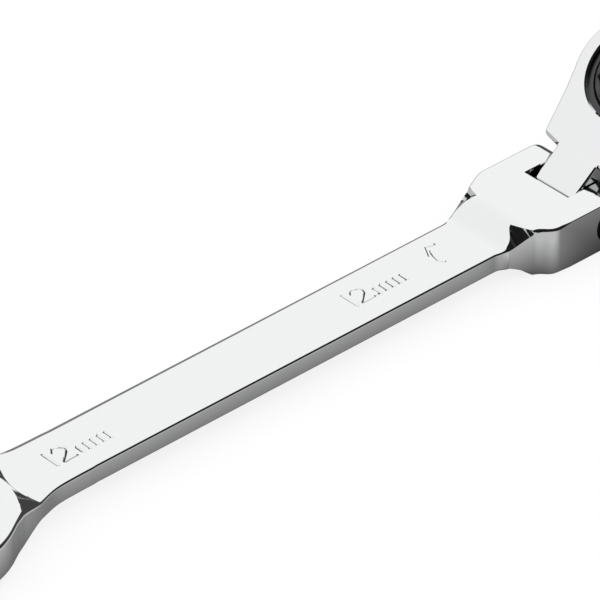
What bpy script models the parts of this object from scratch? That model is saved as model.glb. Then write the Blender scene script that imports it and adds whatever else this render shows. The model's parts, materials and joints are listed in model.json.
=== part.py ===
"""A 12 mm combination wrench whose ratchet head tilts on a fork.

+X runs along the handle towards the ratchet head, +Y is to the left and +Z is up. The origin is on
the handle's centre line, on the flat underside just behind the fork's slot.
"""
import math

import bmesh
import bpy

MM = 0.001

# Handle: a flat bar with a thicker open end and a thicker fork.
FORK_THICKNESS = 8.3 * MM
SHANK_THICKNESS = 3.2 * MM
OPEN_END_THICKNESS = 6.0 * MM
SHANK_WIDTH = 11.5 * MM
FORK_WIDTH = 19.4 * MM
EDGE_BEVEL = 0.3 * MM
MID_Z = FORK_THICKNESS / 2

# Fork: the walls flare slowly, then quickly, and a notch is scooped out of each corner beside the ramp.
# A flare is given by where it starts and ends and by how long it takes to bend in and out.
RAMP_START_X = -10.0 * MM
RAMP_END_X = -3.8 * MM
SLOW_FLARE = (-11.0 * MM, -2.0 * MM, 1.2 * MM, 1.2 * MM)
SLOW_FLARE_WIDTH = 2.4 * MM
RIGHT_FLARE = (-4.4 * MM, -0.9 * MM, 1.6 * MM, 1.8 * MM)
LEFT_FLARE = (-4.0 * MM, 1.6 * MM, 2.0 * MM, 2.6 * MM)
WALL_RISE_START_X = -10.2 * MM
WALL_RISE_END_X = -2.0 * MM
NOTCH_START_X = -8.4 * MM
NOTCH_VALLEY_X = -5.2 * MM
NOTCH_END_X = -1.6 * MM
NOTCH_VALLEY_Y = 3.3 * MM
NOTCH_OPENING_POWER = 4.0
SLOT_ROOT_X = 5.6 * MM
SLOT_WIDTH = 9.6 * MM
TIP_LENGTH = 3.6 * MM
TIP_FULLNESS = 5.0
TIP_ROUNDING = 2.2 * MM

# Open end: a round head on a spreading neck, with a 12 mm jaw turned 15 degrees.
OPEN_END_X = -118.0 * MM
OPEN_END_RADIUS = 13.3 * MM
OPEN_EDGE_BEVEL = 0.6 * MM
OPEN_RAMP_START_X = -101.9 * MM
OPEN_RAMP_END_X = -105.2 * MM
OPEN_RISE_END_X = -108.0 * MM
NECK_START_X = -90.0 * MM
NECK_BEND_X = -98.2 * MM
NECK_BEND_SOFTNESS = 2.0 * MM
NECK_SLOPE = 0.37
NECK_END_X = -110.0 * MM
NECK_JOINT_SOFTNESS = 0.8 * MM
OPEN_SCOOP_X = -105.2 * MM
OPEN_SCOOP_REACH = 3.4 * MM
OPEN_SCOOP_DEPTH = 2.4 * MM
JAW_WIDTH = 12.1 * MM
JAW_ANGLE = math.radians(15.0)
JAW_TIP = 11.2 * MM
JAW_BOTTOM = 4.6 * MM
JAW_BOTTOM_WIDTH = 6.2 * MM

# Tilting head: a ring on a tongue that turns on the fork's cross pin.
PIN_X = 10.0 * MM
HEAD_TILT = math.radians(38.0)
HEAD_THICKNESS = 8.3 * MM
TONGUE_WIDTH = 8.5 * MM
SHOULDER_OFFSET = 5.5 * MM
SHOULDER_LEAN = 0.2
SHOULDER_CORNER = 0.6 * MM
HEAD_NECK_WIDTH = 15.2 * MM
HEAD_NECK_SPREAD = 0.2
HEAD_NECK_SOFTNESS = 0.6 * MM
RING_OFFSET = 21.4 * MM
RING_RADIUS = 11.05 * MM

# Cross pin: a shouldered screw sunk in the side wall that faces -Y.
PIN_RADIUS = 2.0 * MM
PIN_HEAD_RADIUS = 2.8 * MM
PIN_HEAD_HEIGHT = 1.4 * MM
PIN_SINK = 0.9 * MM
PIN_SOCKET_RADIUS = 1.5 * MM
PIN_SOCKET_DEPTH = 0.9 * MM
COUNTERBORE_RADIUS = 3.0 * MM
PIN_CHAMFER = 0.25 * MM
RUNNING_GAP = 0.06 * MM

# Spring-loaded ball in the handle that presses on the tongue, so the head stays where it is set.
DETENT_HOLE_RADIUS = 1.35 * MM
DETENT_HOLE_DEPTH = 5.4 * MM
BALL_RADIUS = 1.25 * MM
DETENT_SPRING_RADIUS = 1.0 * MM

# Ratchet: a gear with a 12-point bore and 72 one-way teeth, and a pawl behind it.
TOOTH_COUNT = 72
GEAR_TIP_RADIUS = 8.4 * MM
TOOTH_DEPTH = 0.42 * MM
TOOTH_LEAN = math.radians(1.2)
GEAR_TEETH_LOW = -2.9 * MM
GEAR_TEETH_HIGH = 2.3 * MM
GEAR_LOW = -3.9 * MM
GEAR_HIGH = 3.6 * MM
GEAR_LOW_HUB_RADIUS = 7.75 * MM
GEAR_HIGH_HUB_RADIUS = 7.45 * MM
DRIVE_ACROSS_FLATS = 12.1 * MM
HOUSING_BORE_RADIUS = 8.65 * MM
HOUSING_LIP_RADIUS = 7.85 * MM
HOUSING_LIP_TOP = -3.1 * MM
SNAP_GROOVE_RADIUS = 9.2 * MM
SNAP_GROOVE_LOW = 2.55 * MM
SNAP_GROOVE_HIGH = 3.45 * MM
SNAP_RING_OUTER = 9.05 * MM
SNAP_RING_INNER = 7.6 * MM
SNAP_RING_LOW = 2.65 * MM
SNAP_RING_HIGH = 3.35 * MM
SNAP_RING_GAP = math.radians(22.0)

PAWL_WIDTH = 6.2 * MM
PAWL_HEIGHT = 4.2 * MM
PAWL_BACK = -12.3 * MM
PAWL_CLEARANCE = 0.1 * MM
PAWL_SEAT_DEPTH = 1.1 * MM
POCKET_WIDTH = 6.8 * MM
POCKET_HEIGHT = 4.6 * MM
POCKET_BACK = -13.2 * MM
POCKET_FRONT = -7.2 * MM
SPRING_HOLE_RADIUS = 1.2 * MM
SPRING_HOLE_BACK = -15.6 * MM
PAWL_SPRING_RADIUS = 1.0 * MM

WIRE_RADIUS = 0.18 * MM
ROUND_SEGMENTS = 48
DISC_ANGLES = (math.radians(12.0), math.radians(130.0))
LAST_TIP_ANGLE = math.radians(84.0)
PLENTY = 30.0 * MM


# ---------------------------------------------------------------- mesh tools

def ease(value, start, end):
    """Go smoothly from 0 at start to 1 at end."""
    t = min(max((value - start) / (end - start), 0.0), 1.0)
    return t * t * (3.0 - 2.0 * t)


def mix(low, high, amount):
    return low + (high - low) * amount


def ramp(value, start, end, ease_in, ease_out):
    """Go from 0 at start to 1 at end: steadily, after a rounded beginning and before a rounded end."""
    length = end - start
    rate = 1.0 / (length - (ease_in + ease_out) / 2)
    done = min(max(value - start, 0.0), length)
    if done < ease_in:
        return rate * done ** 2 / (2 * ease_in)
    if done > length - ease_out:
        return 1.0 - rate * (length - done) ** 2 / (2 * ease_out)
    return rate * (done - ease_in / 2)


def soft_max(first, second, softness):
    """The larger of two values, with the change from one to the other rounded off."""
    return (first + second + math.sqrt((first - second) ** 2 + softness ** 2)) / 2


def spread(start, end, count):
    """Evenly spaced values from start to end, both included."""
    return [mix(start, end, i / (count - 1)) for i in range(count)]


def loft(name, rings, endless=False):
    """A solid whose skin joins rings that all have the same number of points."""
    mesh = bmesh.new()
    rows = [[mesh.verts.new(point) for point in ring] for ring in rings]
    joints = list(zip(rows, rows[1:]))
    if endless:
        joints.append((rows[-1], rows[0]))
    else:
        mesh.faces.new(rows[0])
        mesh.faces.new(rows[-1])
    for row, following in joints:
        for i in range(len(row)):
            j = (i + 1) % len(row)
            mesh.faces.new((row[i], row[j], following[j], following[i]))
    bmesh.ops.recalc_face_normals(mesh, faces=mesh.faces)
    data = bpy.data.meshes.new(name)
    mesh.to_mesh(data)
    mesh.free()
    data.shade_smooth()
    data.set_sharp_from_angle(angle=math.radians(30.0))
    made = bpy.data.objects.new(name, data)
    bpy.context.collection.objects.link(made)
    return made


def circle(radius, height, count=ROUND_SEGMENTS, axis="z"):
    """Points of a circle about an axis through the origin, at a height along that axis."""
    points = []
    for i in range(count):
        turn = math.tau * i / count
        across, along = radius * math.cos(turn), radius * math.sin(turn)
        points.append({"x": (height, across, along), "y": (across, height, along),
                       "z": (across, along, height)}[axis])
    return points


def turned(name, profile, axis="z", count=ROUND_SEGMENTS, endless=False):
    """A turned solid from (radius, height) pairs; an endless profile leaves the middle open."""
    return loft(name, [circle(radius, height, count, axis) for radius, height in profile], endless)


def prism(name, outline, low, high):
    """An outline in X and Y, extruded from low to high in Z."""
    return loft(name, [[(x, y, z) for x, y in outline] for z in (low, high)])


def block(name, x_range, half_width, low, high):
    outline = [(x_range[0], -half_width), (x_range[1], -half_width),
               (x_range[1], half_width), (x_range[0], half_width)]
    return prism(name, outline, low, high)


def coil(name, start, end, radius, turns, steps=12, sides=6):
    """A round wire wound about the X axis from start to end."""
    rings = []
    for i in range(turns * steps + 1):
        turn = math.tau * i / steps
        middle = mix(start + WIRE_RADIUS, end - WIRE_RADIUS, i / (turns * steps))
        ring = []
        for side in range(sides):
            around = math.tau * side / sides
            reach = radius - WIRE_RADIUS + WIRE_RADIUS * math.cos(around)
            ring.append((middle + WIRE_RADIUS * math.sin(around),
                         reach * math.cos(turn), reach * math.sin(turn)))
        rings.append(ring)
    return loft(name, rings)


def empty(name, location, tilt=0.0, parent=None):
    made = bpy.data.objects.new(name, None)
    made.location = location
    made.rotation_euler = (0.0, -tilt, 0.0)
    made.parent = parent
    bpy.context.collection.objects.link(made)
    return made


def place(piece, parent, location=(0.0, 0.0, 0.0)):
    piece.parent = parent
    piece.location = location
    return piece


def cut(piece, cutter, location=(0.0, 0.0, 0.0)):
    """Cut one solid out of another; the cutter shares the piece's parent and stays as a guide."""
    place(cutter, piece.parent, location)
    cutter.hide_render = True
    cutter.display_type = "WIRE"
    boolean = piece.modifiers.new(cutter.name, "BOOLEAN")
    boolean.operation = "DIFFERENCE"
    boolean.solver = "EXACT"
    boolean.object = cutter


def finish(piece, name, colour, roughness):
    """Give a piece its own metal."""
    material = bpy.data.materials.new(name)
    material.use_nodes = True
    shader = material.node_tree.nodes["Principled BSDF"]
    shader.inputs["Base Color"].default_value = (*colour, 1.0)
    shader.inputs["Metallic"].default_value = 1.0
    shader.inputs["Roughness"].default_value = roughness
    piece.data.materials.append(material)


# ---------------------------------------------------------------- handle

def face_half_height(x):
    """Half the handle's thickness at its flat faces; the fork's tips have blunt, rounded ends."""
    shank, fork, head = SHANK_THICKNESS / 2, FORK_THICKNESS / 2, OPEN_END_THICKNESS / 2
    if x > PIN_X:
        return fork * (1.0 - ((x - PIN_X) / TIP_LENGTH) ** TIP_FULLNESS) ** (1.0 / TIP_FULLNESS)
    if x > NECK_START_X:
        return mix(shank, fork, ease(x, RAMP_START_X, RAMP_END_X))
    return mix(shank, head, ease(x, OPEN_RAMP_START_X, OPEN_RAMP_END_X))


def edge_bevel(x):
    """The bevel between face and wall; it is larger on the open end and vanishes at the fork's tips."""
    bevel = mix(EDGE_BEVEL, OPEN_EDGE_BEVEL, ease(x, OPEN_RAMP_START_X, OPEN_RISE_END_X))
    return min(bevel, face_half_height(x) / 2)


def wall_half_height(x):
    """Half the height of the side walls, without the bevels."""
    shank, fork, head = SHANK_THICKNESS / 2, FORK_THICKNESS / 2, OPEN_END_THICKNESS / 2
    if x > NECK_START_X:
        wall = mix(shank, fork, ease(x, WALL_RISE_START_X, WALL_RISE_END_X))
    else:
        wall = mix(shank, head, ease(x, OPEN_RAMP_START_X, OPEN_RISE_END_X))
    return min(wall, face_half_height(x)) - edge_bevel(x)


def fork_half_width(x, side):
    """The fork's two flares, of which the second ends more sharply on the right, and its rounded tips."""
    quick_width = (FORK_WIDTH - SHANK_WIDTH) / 2 - SLOW_FLARE_WIDTH
    quick = quick_width * ramp(x, *(LEFT_FLARE if side > 0 else RIGHT_FLARE))
    wide = SHANK_WIDTH / 2 + SLOW_FLARE_WIDTH * ramp(x, *SLOW_FLARE) + quick
    beyond = max(x - (PIN_X + TIP_LENGTH - TIP_ROUNDING), 0.0)
    return wide - TIP_ROUNDING + math.sqrt(TIP_ROUNDING ** 2 - beyond ** 2)


def open_half_width(x):
    """The neck spreads steadily and runs into the round head."""
    disc = math.sqrt(max(OPEN_END_RADIUS ** 2 - (x - OPEN_END_X) ** 2, 0.0))
    if x < OPEN_END_X:
        return disc
    neck = SHANK_WIDTH / 2 + NECK_SLOPE * soft_max(NECK_BEND_X - max(x, NECK_END_X), 0.0, NECK_BEND_SOFTNESS)
    return soft_max(neck, disc, NECK_JOINT_SOFTNESS * (1.0 - ease(x, NECK_END_X, OPEN_END_X)))


def half_width(x, side):
    """Half the handle's width at its side walls."""
    return fork_half_width(x, side) if x > NECK_START_X else open_half_width(x)


def face_half_width(x, side):
    """How far out the flat face reaches: it stops at a bevel, or sooner at the notches and scoops."""
    wall = half_width(x, side)
    face = wall - edge_bevel(x)
    if NOTCH_START_X < x < NOTCH_VALLEY_X:
        face = mix(face, NOTCH_VALLEY_Y, ease(x, NOTCH_START_X, NOTCH_VALLEY_X))
    elif NOTCH_VALLEY_X <= x < NOTCH_END_X:
        opened = 1.0 - ((NOTCH_END_X - x) / (NOTCH_END_X - NOTCH_VALLEY_X)) ** NOTCH_OPENING_POWER
        face = min(face, mix(NOTCH_VALLEY_Y, FORK_WIDTH / 2, opened))
    away = min(abs(x - OPEN_SCOOP_X) / OPEN_SCOOP_REACH, 1.0)
    face -= OPEN_SCOOP_DEPTH * math.cos(away * math.pi / 2) ** 2
    return max(face, wall / 2) if x < OPEN_END_X else face


def corner(x, side, steps=3):
    """The top edge of the handle on one side, from the face down to the side wall."""
    wide, narrow = half_width(x, side), face_half_width(x, side)
    high, low = face_half_height(x), wall_half_height(x)
    hollow = ease(wide - narrow, edge_bevel(x), edge_bevel(x) + EDGE_BEVEL)
    points = []
    for i in range(steps + 1):
        t = i / steps
        points.append((side * mix(narrow, wide, t), mix(low, high, (1.0 - t) ** (1.0 + hollow))))
    return points


def handle_section(x):
    """The handle's section at x, as a closed ring of points."""
    left, right = corner(x, 1), corner(x, -1)
    ring = right[::-1] + left
    ring += [(y, -z) for y, z in ring[::-1]]
    return [(x, y, MID_Z + z) for y, z in ring]


def handle_stations():
    """Where the handle's sections lie: close together where its shape changes."""
    disc = [OPEN_END_X - OPEN_END_RADIUS * math.cos(angle) for angle in spread(*DISC_ANGLES, 18)]
    cove = spread(OPEN_RISE_END_X, OPEN_RAMP_START_X + EDGE_BEVEL, 12)
    neck = spread(NECK_BEND_X - NECK_BEND_SOFTNESS, NECK_START_X, 6)
    flare = spread(SLOW_FLARE[0], NOTCH_START_X, 5)[:-1]
    notch = spread(NOTCH_START_X, NOTCH_VALLEY_X, 8)[:-1] + spread(NOTCH_VALLEY_X, LEFT_FLARE[1], 14)
    tips = [PIN_X + TIP_LENGTH * math.sin(angle) for angle in spread(0.0, LAST_TIP_ANGLE, 9)]
    return disc + cove + neck + flare + notch + tips


def jaw_cutter():
    """The jaw's gap, and the blunt ends of its two prongs."""
    half, bottom = JAW_WIDTH / 2, JAW_BOTTOM_WIDTH / 2
    outline = [(JAW_TIP, -PLENTY), (JAW_TIP, -half), (-JAW_BOTTOM / 2, -half), (-JAW_BOTTOM, -bottom),
               (-JAW_BOTTOM, bottom), (-JAW_BOTTOM / 2, half), (JAW_TIP, half), (JAW_TIP, PLENTY),
               (PLENTY, PLENTY), (PLENTY, -PLENTY)]
    cutter = prism("jaw_cutter", outline, -PLENTY, PLENTY)
    cutter.rotation_euler = (0.0, 0.0, math.pi + JAW_ANGLE)
    return cutter


def make_wrench_body():
    body = loft("wrench_body", [handle_section(x) for x in handle_stations()])
    wall = FORK_WIDTH / 2
    cut(body, jaw_cutter(), (OPEN_END_X, 0.0, MID_Z))
    cut(body, block("slot_cutter", (SLOT_ROOT_X, PLENTY), SLOT_WIDTH / 2, -PLENTY, PLENTY))
    bore = PIN_RADIUS + RUNNING_GAP
    seat = -wall + PIN_SINK + PIN_HEAD_HEIGHT + RUNNING_GAP
    steps = [(COUNTERBORE_RADIUS, -PLENTY), (COUNTERBORE_RADIUS, seat), (bore, seat), (bore, PLENTY)]
    cut(body, turned("pin_hole_cutter", steps, "y"), (PIN_X, 0.0, MID_Z))
    hole = [(DETENT_HOLE_RADIUS, -DETENT_HOLE_DEPTH), (DETENT_HOLE_RADIUS, PIN_RADIUS)]
    cut(body, turned("detent_hole_cutter", hole, "x", 24), (SLOT_ROOT_X, 0.0, MID_Z))
    finish(body, "polished_chrome_handle", (0.86, 0.87, 0.88), 0.07)


def make_pivot_screw():
    wall = FORK_WIDTH / 2
    top = -wall + PIN_SINK
    under = top + PIN_HEAD_HEIGHT
    end = wall - PIN_SINK
    profile = [(PIN_HEAD_RADIUS - PIN_CHAMFER, top), (PIN_HEAD_RADIUS, top + PIN_CHAMFER),
               (PIN_HEAD_RADIUS, under), (PIN_RADIUS, under), (PIN_RADIUS, end - PIN_CHAMFER),
               (PIN_RADIUS - PIN_CHAMFER, end)]
    screw = turned("pivot_screw", profile, "y")
    screw.location = (PIN_X, 0.0, MID_Z)
    socket = turned("screw_socket_cutter", [(PIN_SOCKET_RADIUS, top - PIN_RADIUS),
                                            (PIN_SOCKET_RADIUS, top + PIN_SOCKET_DEPTH)], "y", 6)
    cut(screw, socket, screw.location)
    finish(screw, "dark_screw_steel", (0.12, 0.12, 0.13), 0.35)


def make_detent():
    knuckle = PIN_X - HEAD_THICKNESS / 2
    ball_x = knuckle - BALL_RADIUS - RUNNING_GAP / 2
    bands = 12
    profile = [(BALL_RADIUS * math.sin(math.pi * i / bands), -BALL_RADIUS * math.cos(math.pi * i / bands))
               for i in range(1, bands)]
    ball = turned("detent_ball", profile, "x", 24)
    ball.location = (ball_x, 0.0, MID_Z)
    finish(ball, "bright_ball_steel", (0.7, 0.7, 0.71), 0.12)
    back = SLOT_ROOT_X - DETENT_HOLE_DEPTH + RUNNING_GAP
    spring = coil("detent_spring", back, ball_x - BALL_RADIUS - RUNNING_GAP, DETENT_SPRING_RADIUS, 5)
    spring.location = (0.0, 0.0, MID_Z)
    finish(spring, "detent_spring_steel", (0.45, 0.45, 0.46), 0.3)


# ---------------------------------------------------------------- ratchet head

def ring_half_width(x):
    """Half the head's width at x from the pin: a spreading neck that runs into the round ring."""
    ring = math.sqrt(max(RING_RADIUS ** 2 - (x - RING_OFFSET) ** 2, 0.0))
    if x > RING_OFFSET:
        return ring
    joined = ease(x, RING_OFFSET - RING_RADIUS / 2, RING_OFFSET)
    neck = (HEAD_NECK_WIDTH / 2 + HEAD_NECK_SPREAD * (x - SHOULDER_OFFSET)) * (1.0 - joined)
    return soft_max(neck, ring, HEAD_NECK_SOFTNESS * (1.0 - joined))


def housing_section(x, half):
    """A bevelled rectangle; the tongue's end is rounded about the pin."""
    tall = HEAD_THICKNESS / 2
    if x < 0.0:
        tall = math.sqrt(max(tall ** 2 - x ** 2, 0.0))
    bevel = min(EDGE_BEVEL, tall / 2, half / 2)
    quarter = [(half - bevel, tall), (half, tall - bevel)]
    right = quarter + [(y, -z) for y, z in quarter[::-1]]
    return [(x, y, z) for y, z in right + [(-y, z) for y, z in right[::-1]]]


def housing_sections():
    tongue, shoulder = TONGUE_WIDTH / 2, HEAD_NECK_WIDTH / 2
    knuckle = [-HEAD_THICKNESS / 2 * math.sin(angle) for angle in spread(LAST_TIP_ANGLE, 0.0, 9)]
    rings = [housing_section(x, tongue) for x in knuckle + [SHOULDER_OFFSET]]
    corner_x = SHOULDER_OFFSET + SHOULDER_LEAN * (shoulder - SHOULDER_CORNER - tongue)
    rings.append(housing_section(SHOULDER_OFFSET + SHOULDER_LEAN * EDGE_BEVEL, tongue + EDGE_BEVEL))
    rings.append(housing_section(corner_x, shoulder - SHOULDER_CORNER))
    rings.append(housing_section(corner_x + SHOULDER_CORNER / 2, shoulder - EDGE_BEVEL / 2))
    neck = spread(corner_x + SHOULDER_CORNER + EDGE_BEVEL, RING_OFFSET - 2 * EDGE_BEVEL, 12)
    tip = [RING_OFFSET + RING_RADIUS * math.sin(angle) for angle in spread(0.0, LAST_TIP_ANGLE, 17)]
    return rings + [housing_section(x, ring_half_width(x)) for x in neck + tip]


def make_housing(flex_axis):
    housing = place(loft("ratchet_housing", housing_sections()), flex_axis)
    bore = [(HOUSING_LIP_RADIUS, -PLENTY), (HOUSING_LIP_RADIUS, HOUSING_LIP_TOP),
            (HOUSING_BORE_RADIUS, HOUSING_LIP_TOP), (HOUSING_BORE_RADIUS, SNAP_GROOVE_LOW),
            (SNAP_GROOVE_RADIUS, SNAP_GROOVE_LOW), (SNAP_GROOVE_RADIUS, SNAP_GROOVE_HIGH),
            (HOUSING_BORE_RADIUS, SNAP_GROOVE_HIGH), (HOUSING_BORE_RADIUS, PLENTY)]
    ring_centre = (RING_OFFSET, 0.0, 0.0)
    cut(housing, turned("gear_bore_cutter", bore, "z", 96), ring_centre)
    pocket = block("pawl_pocket_cutter", (POCKET_BACK, POCKET_FRONT), POCKET_WIDTH / 2,
                   -POCKET_HEIGHT / 2, POCKET_HEIGHT / 2)
    cut(housing, pocket, ring_centre)
    hole = [(SPRING_HOLE_RADIUS, SPRING_HOLE_BACK), (SPRING_HOLE_RADIUS, PAWL_BACK)]
    cut(housing, turned("spring_hole_cutter", hole, "x", 24), ring_centre)
    pin_hole = [(PIN_RADIUS + RUNNING_GAP, -PLENTY), (PIN_RADIUS + RUNNING_GAP, PLENTY)]
    cut(housing, turned("tongue_hole_cutter", pin_hole, "y"))
    finish(housing, "polished_chrome_head", (0.86, 0.87, 0.88), 0.07)


def tooth_point(index, extra=0.0):
    """A corner of the gear's toothed outline: roots at even places, leaning tips at odd ones."""
    turn = math.pi * index / TOOTH_COUNT
    is_tip = index % 2 == 1
    radius = GEAR_TIP_RADIUS + extra - (0.0 if is_tip else TOOTH_DEPTH)
    turn -= TOOTH_LEAN if is_tip else 0.0
    return radius * math.cos(turn), radius * math.sin(turn)


def drive_point(index):
    """A point of the 12-point bore, which is two hexagons turned 30 degrees apart."""
    turn = math.pi * index / TOOTH_COUNT
    sector = math.radians(30.0)
    from_corner = abs((turn + sector / 2) % sector - sector / 2)
    radius = DRIVE_ACROSS_FLATS / 2 / math.cos(sector - from_corner)
    return radius * math.cos(turn), radius * math.sin(turn)


def make_gear(ring_axis):
    count = 2 * TOOTH_COUNT

    def level(points, height):
        return [(x, y, height) for x, y in points]

    low_hub = [(x, y) for x, y, _ in circle(GEAR_LOW_HUB_RADIUS, 0.0, count)]
    high_hub = [(x, y) for x, y, _ in circle(GEAR_HIGH_HUB_RADIUS, 0.0, count)]
    teeth = [tooth_point(i) for i in range(count)]
    drive = [drive_point(i) for i in range(count)]
    rings = [level(low_hub, GEAR_LOW), level(low_hub, GEAR_TEETH_LOW), level(teeth, GEAR_TEETH_LOW),
             level(teeth, GEAR_TEETH_HIGH), level(high_hub, GEAR_TEETH_HIGH),
             level(high_hub, GEAR_HIGH), level(drive, GEAR_HIGH), level(drive, GEAR_LOW)]
    gear = place(loft("drive_gear", rings, endless=True), ring_axis)
    finish(gear, "dark_gear_steel", (0.06, 0.06, 0.065), 0.38)


def make_snap_ring(ring_axis):
    """A split ring with a square section, whose gap faces the head's far end."""
    corners = [(SNAP_RING_INNER, SNAP_RING_LOW), (SNAP_RING_OUTER, SNAP_RING_LOW),
               (SNAP_RING_OUTER, SNAP_RING_HIGH), (SNAP_RING_INNER, SNAP_RING_HIGH)]
    rings = []
    for turn in spread(SNAP_RING_GAP / 2, math.tau - SNAP_RING_GAP / 2, 65):
        rings.append([(r * math.cos(turn), r * math.sin(turn), z) for r, z in corners])
    ring = place(loft("snap_ring", rings), ring_axis)
    finish(ring, "dark_ring_steel", (0.09, 0.09, 0.095), 0.34)


def make_pawl(ring_axis):
    """A block that slides towards the gear; its front carries the gear's teeth in reverse."""
    reach = int(math.asin(PAWL_WIDTH / 2 / GEAR_TIP_RADIUS) / (math.pi / TOOTH_COUNT))
    front = [tooth_point(i, PAWL_CLEARANCE) for i in range(TOOTH_COUNT - reach, TOOTH_COUNT + reach + 1)]
    half = PAWL_WIDTH / 2
    outline = front + [(PAWL_BACK, -half), (PAWL_BACK, half)]
    pawl = place(prism("pawl", outline, -PAWL_HEIGHT / 2, PAWL_HEIGHT / 2), ring_axis)
    seat = [(SPRING_HOLE_RADIUS, PAWL_BACK + side * PAWL_SEAT_DEPTH) for side in (-1, 1)]
    cut(pawl, turned("spring_seat_cutter", seat, "x", 24))
    finish(pawl, "pawl_steel", (0.2, 0.2, 0.21), 0.3)
    end = PAWL_BACK + PAWL_SEAT_DEPTH - RUNNING_GAP
    spring = place(coil("pawl_spring", SPRING_HOLE_BACK + RUNNING_GAP, end, PAWL_SPRING_RADIUS, 6), ring_axis)
    finish(spring, "pawl_spring_steel", (0.45, 0.45, 0.46), 0.3)


def main():
    for old in list(bpy.data.objects):
        bpy.data.objects.remove(old)
    flex_axis = empty("flex_axis", (PIN_X, 0.0, MID_Z), HEAD_TILT)
    ring_axis = empty("ring_axis", (RING_OFFSET, 0.0, 0.0), parent=flex_axis)
    make_wrench_body()
    make_pivot_screw()
    make_detent()
    make_housing(flex_axis)
    make_gear(ring_axis)
    make_snap_ring(ring_axis)
    make_pawl(ring_axis)


main()
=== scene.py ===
"""A 12 mm ratchet wrench with a tilting head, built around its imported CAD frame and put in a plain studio.

+X runs along the handle towards the ratchet head, +Y is to the left and +Z is up, in metres.
"""

import json
import math

import bmesh
import bpy
from mathutils import Matrix, Vector


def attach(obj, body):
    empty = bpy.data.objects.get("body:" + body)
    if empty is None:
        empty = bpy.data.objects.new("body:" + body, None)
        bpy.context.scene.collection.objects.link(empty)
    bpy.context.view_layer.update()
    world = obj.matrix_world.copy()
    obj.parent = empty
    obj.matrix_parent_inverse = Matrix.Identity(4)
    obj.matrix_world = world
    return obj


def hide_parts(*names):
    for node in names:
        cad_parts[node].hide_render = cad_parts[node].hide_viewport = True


MM = 0.001

# Handle.
SHANK_THICKNESS = 3.2 * MM
OPEN_END_THICKNESS = 6.0 * MM
SHANK_WIDTH = 11.5 * MM
SHANK_EDGE = 0.36 * MM
LEFT_CHAMFER_WIDE = 0.8 * MM
LEFT_CHAMFER_NARROW = 0.38 * MM
LEFT_CHAMFER_SLOPE = 0.31

# Fork: a slow and a quick flare, a ramp, and a notch scooped out of each corner.
# A flare is given by where it starts and ends and by how long it takes to bend in and out.
FORK_WIDTH = 19.4 * MM
FORK_EDGE_RIGHT = 0.16 * MM
FORK_EDGE_LEFT = 0.4 * MM
RAMP_START_X = -10.0 * MM
RAMP_END_X = -3.8 * MM
SLOW_FLARE = (-11.0 * MM, -2.0 * MM, 1.2 * MM, 1.2 * MM)
SLOW_FLARE_WIDTH = 2.4 * MM
RIGHT_FLARE = (-4.4 * MM, -0.9 * MM, 1.6 * MM, 1.8 * MM)
LEFT_FLARE = (-4.0 * MM, 1.6 * MM, 2.0 * MM, 2.6 * MM)
WALL_RISE_START_X = -10.2 * MM
WALL_RISE_END_X = -2.0 * MM
RIGHT_NOTCH_X = (-9.4 * MM, -5.45 * MM, -1.25 * MM)
RIGHT_NOTCH_VALLEY = 3.5 * MM
LEFT_NOTCH_X = (-8.2 * MM, -4.2 * MM, -0.6 * MM)
LEFT_NOTCH_VALLEY = 5.3 * MM
NOTCH_CLOSING_POWER = 2.6
NOTCH_OPENING_POWER = 3.4
NOTCH_SLOPE = 0.7
NOTCH_REACH = 1.09
NOTCH_FIRST_GAP = 1.2
NOTCH_FULL_GAP = 2.6
NOTCH_RIM_WIDTH = 0.36 * MM
NOTCH_RIM_DROP = 0.16 * MM
NOTCH_RIM_X = (-5.5 * MM, -3.2 * MM, -1.5 * MM, 2.4 * MM)
TIP_LENGTH = 3.6 * MM
TIP_FULLNESS = 5.0
TIP_ROUNDING = 2.2 * MM
SLOT_ROOT_X = 5.6 * MM
SLOT_HALF_LEFT = 4.8 * MM
SLOT_HALF_RIGHT = 4.5 * MM
SLOT_CHAMFER = 0.14 * MM

# Open end: a round head on a spreading neck, and a cove where the thin shank runs up to it.
OPEN_END_X = -118.0 * MM
OPEN_END_RADIUS = 13.29 * MM
OPEN_EDGE = 0.6 * MM
OPEN_RISE_START_X = -101.9 * MM
OPEN_RISE_END_X = -108.0 * MM
NECK_START_X = -90.0 * MM
NECK_BEND_X = -98.2 * MM
NECK_BEND_SOFTNESS = 2.0 * MM
NECK_SLOPE = 0.37
NECK_END_X = -110.0 * MM
NECK_JOINT_SOFTNESS = 0.8 * MM
PANEL_X = -96.5 * MM
COVE_START_X = -102.7 * MM
COVE_START_CURVE = 0.045 / MM
COVE_START_Y = -3.0 * MM
COVE_END_RADIUS = 14.45 * MM
COVE_END_OFFSET = 1.83 * MM
COVE_END_REACH = 11.0 * MM
COVE_STEEPNESS = 0.75
COVE_MIDDLE_ROUNDING = 1.0 * MM
SCOOP_X = -104.8 * MM
SCOOP_REACH = 4.6 * MM
SCOOP_DEPTH = 0.5 * MM
HEAD_FACE_X = -115.0 * MM
JAW_WIDTH = 12.1 * MM
JAW_ANGLE = math.radians(15.0)
JAW_TIP = 11.2 * MM
JAW_BOTTOM = 4.6 * MM
JAW_BOTTOM_WIDTH = 6.2 * MM
JAW_CHAMFER = 0.35 * MM

# Stamped marks on the shank.
MARK_WIDTH = 0.7 * MM
MARK_DEPTH = 0.155 * MM
MARK_END_SIZE = 0.02
MITRE_LIMIT = 0.35
FAR_MARK = (-35.2 * MM, -1.4 * MM)
NEAR_MARK = (-94.4 * MM, -1.9 * MM)
ONE_OFFSET = 0.2 * MM
TWO_OFFSET = 1.4 * MM
TICKS_OFFSET = 5.1 * MM
DIGIT_HEIGHT = 3.5 * MM
DIGIT_WIDTH = 2.4 * MM
TICK_HEIGHT = 1.7 * MM
TICK_PITCH = 1.35 * MM
TICK_COUNT = 5

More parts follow.
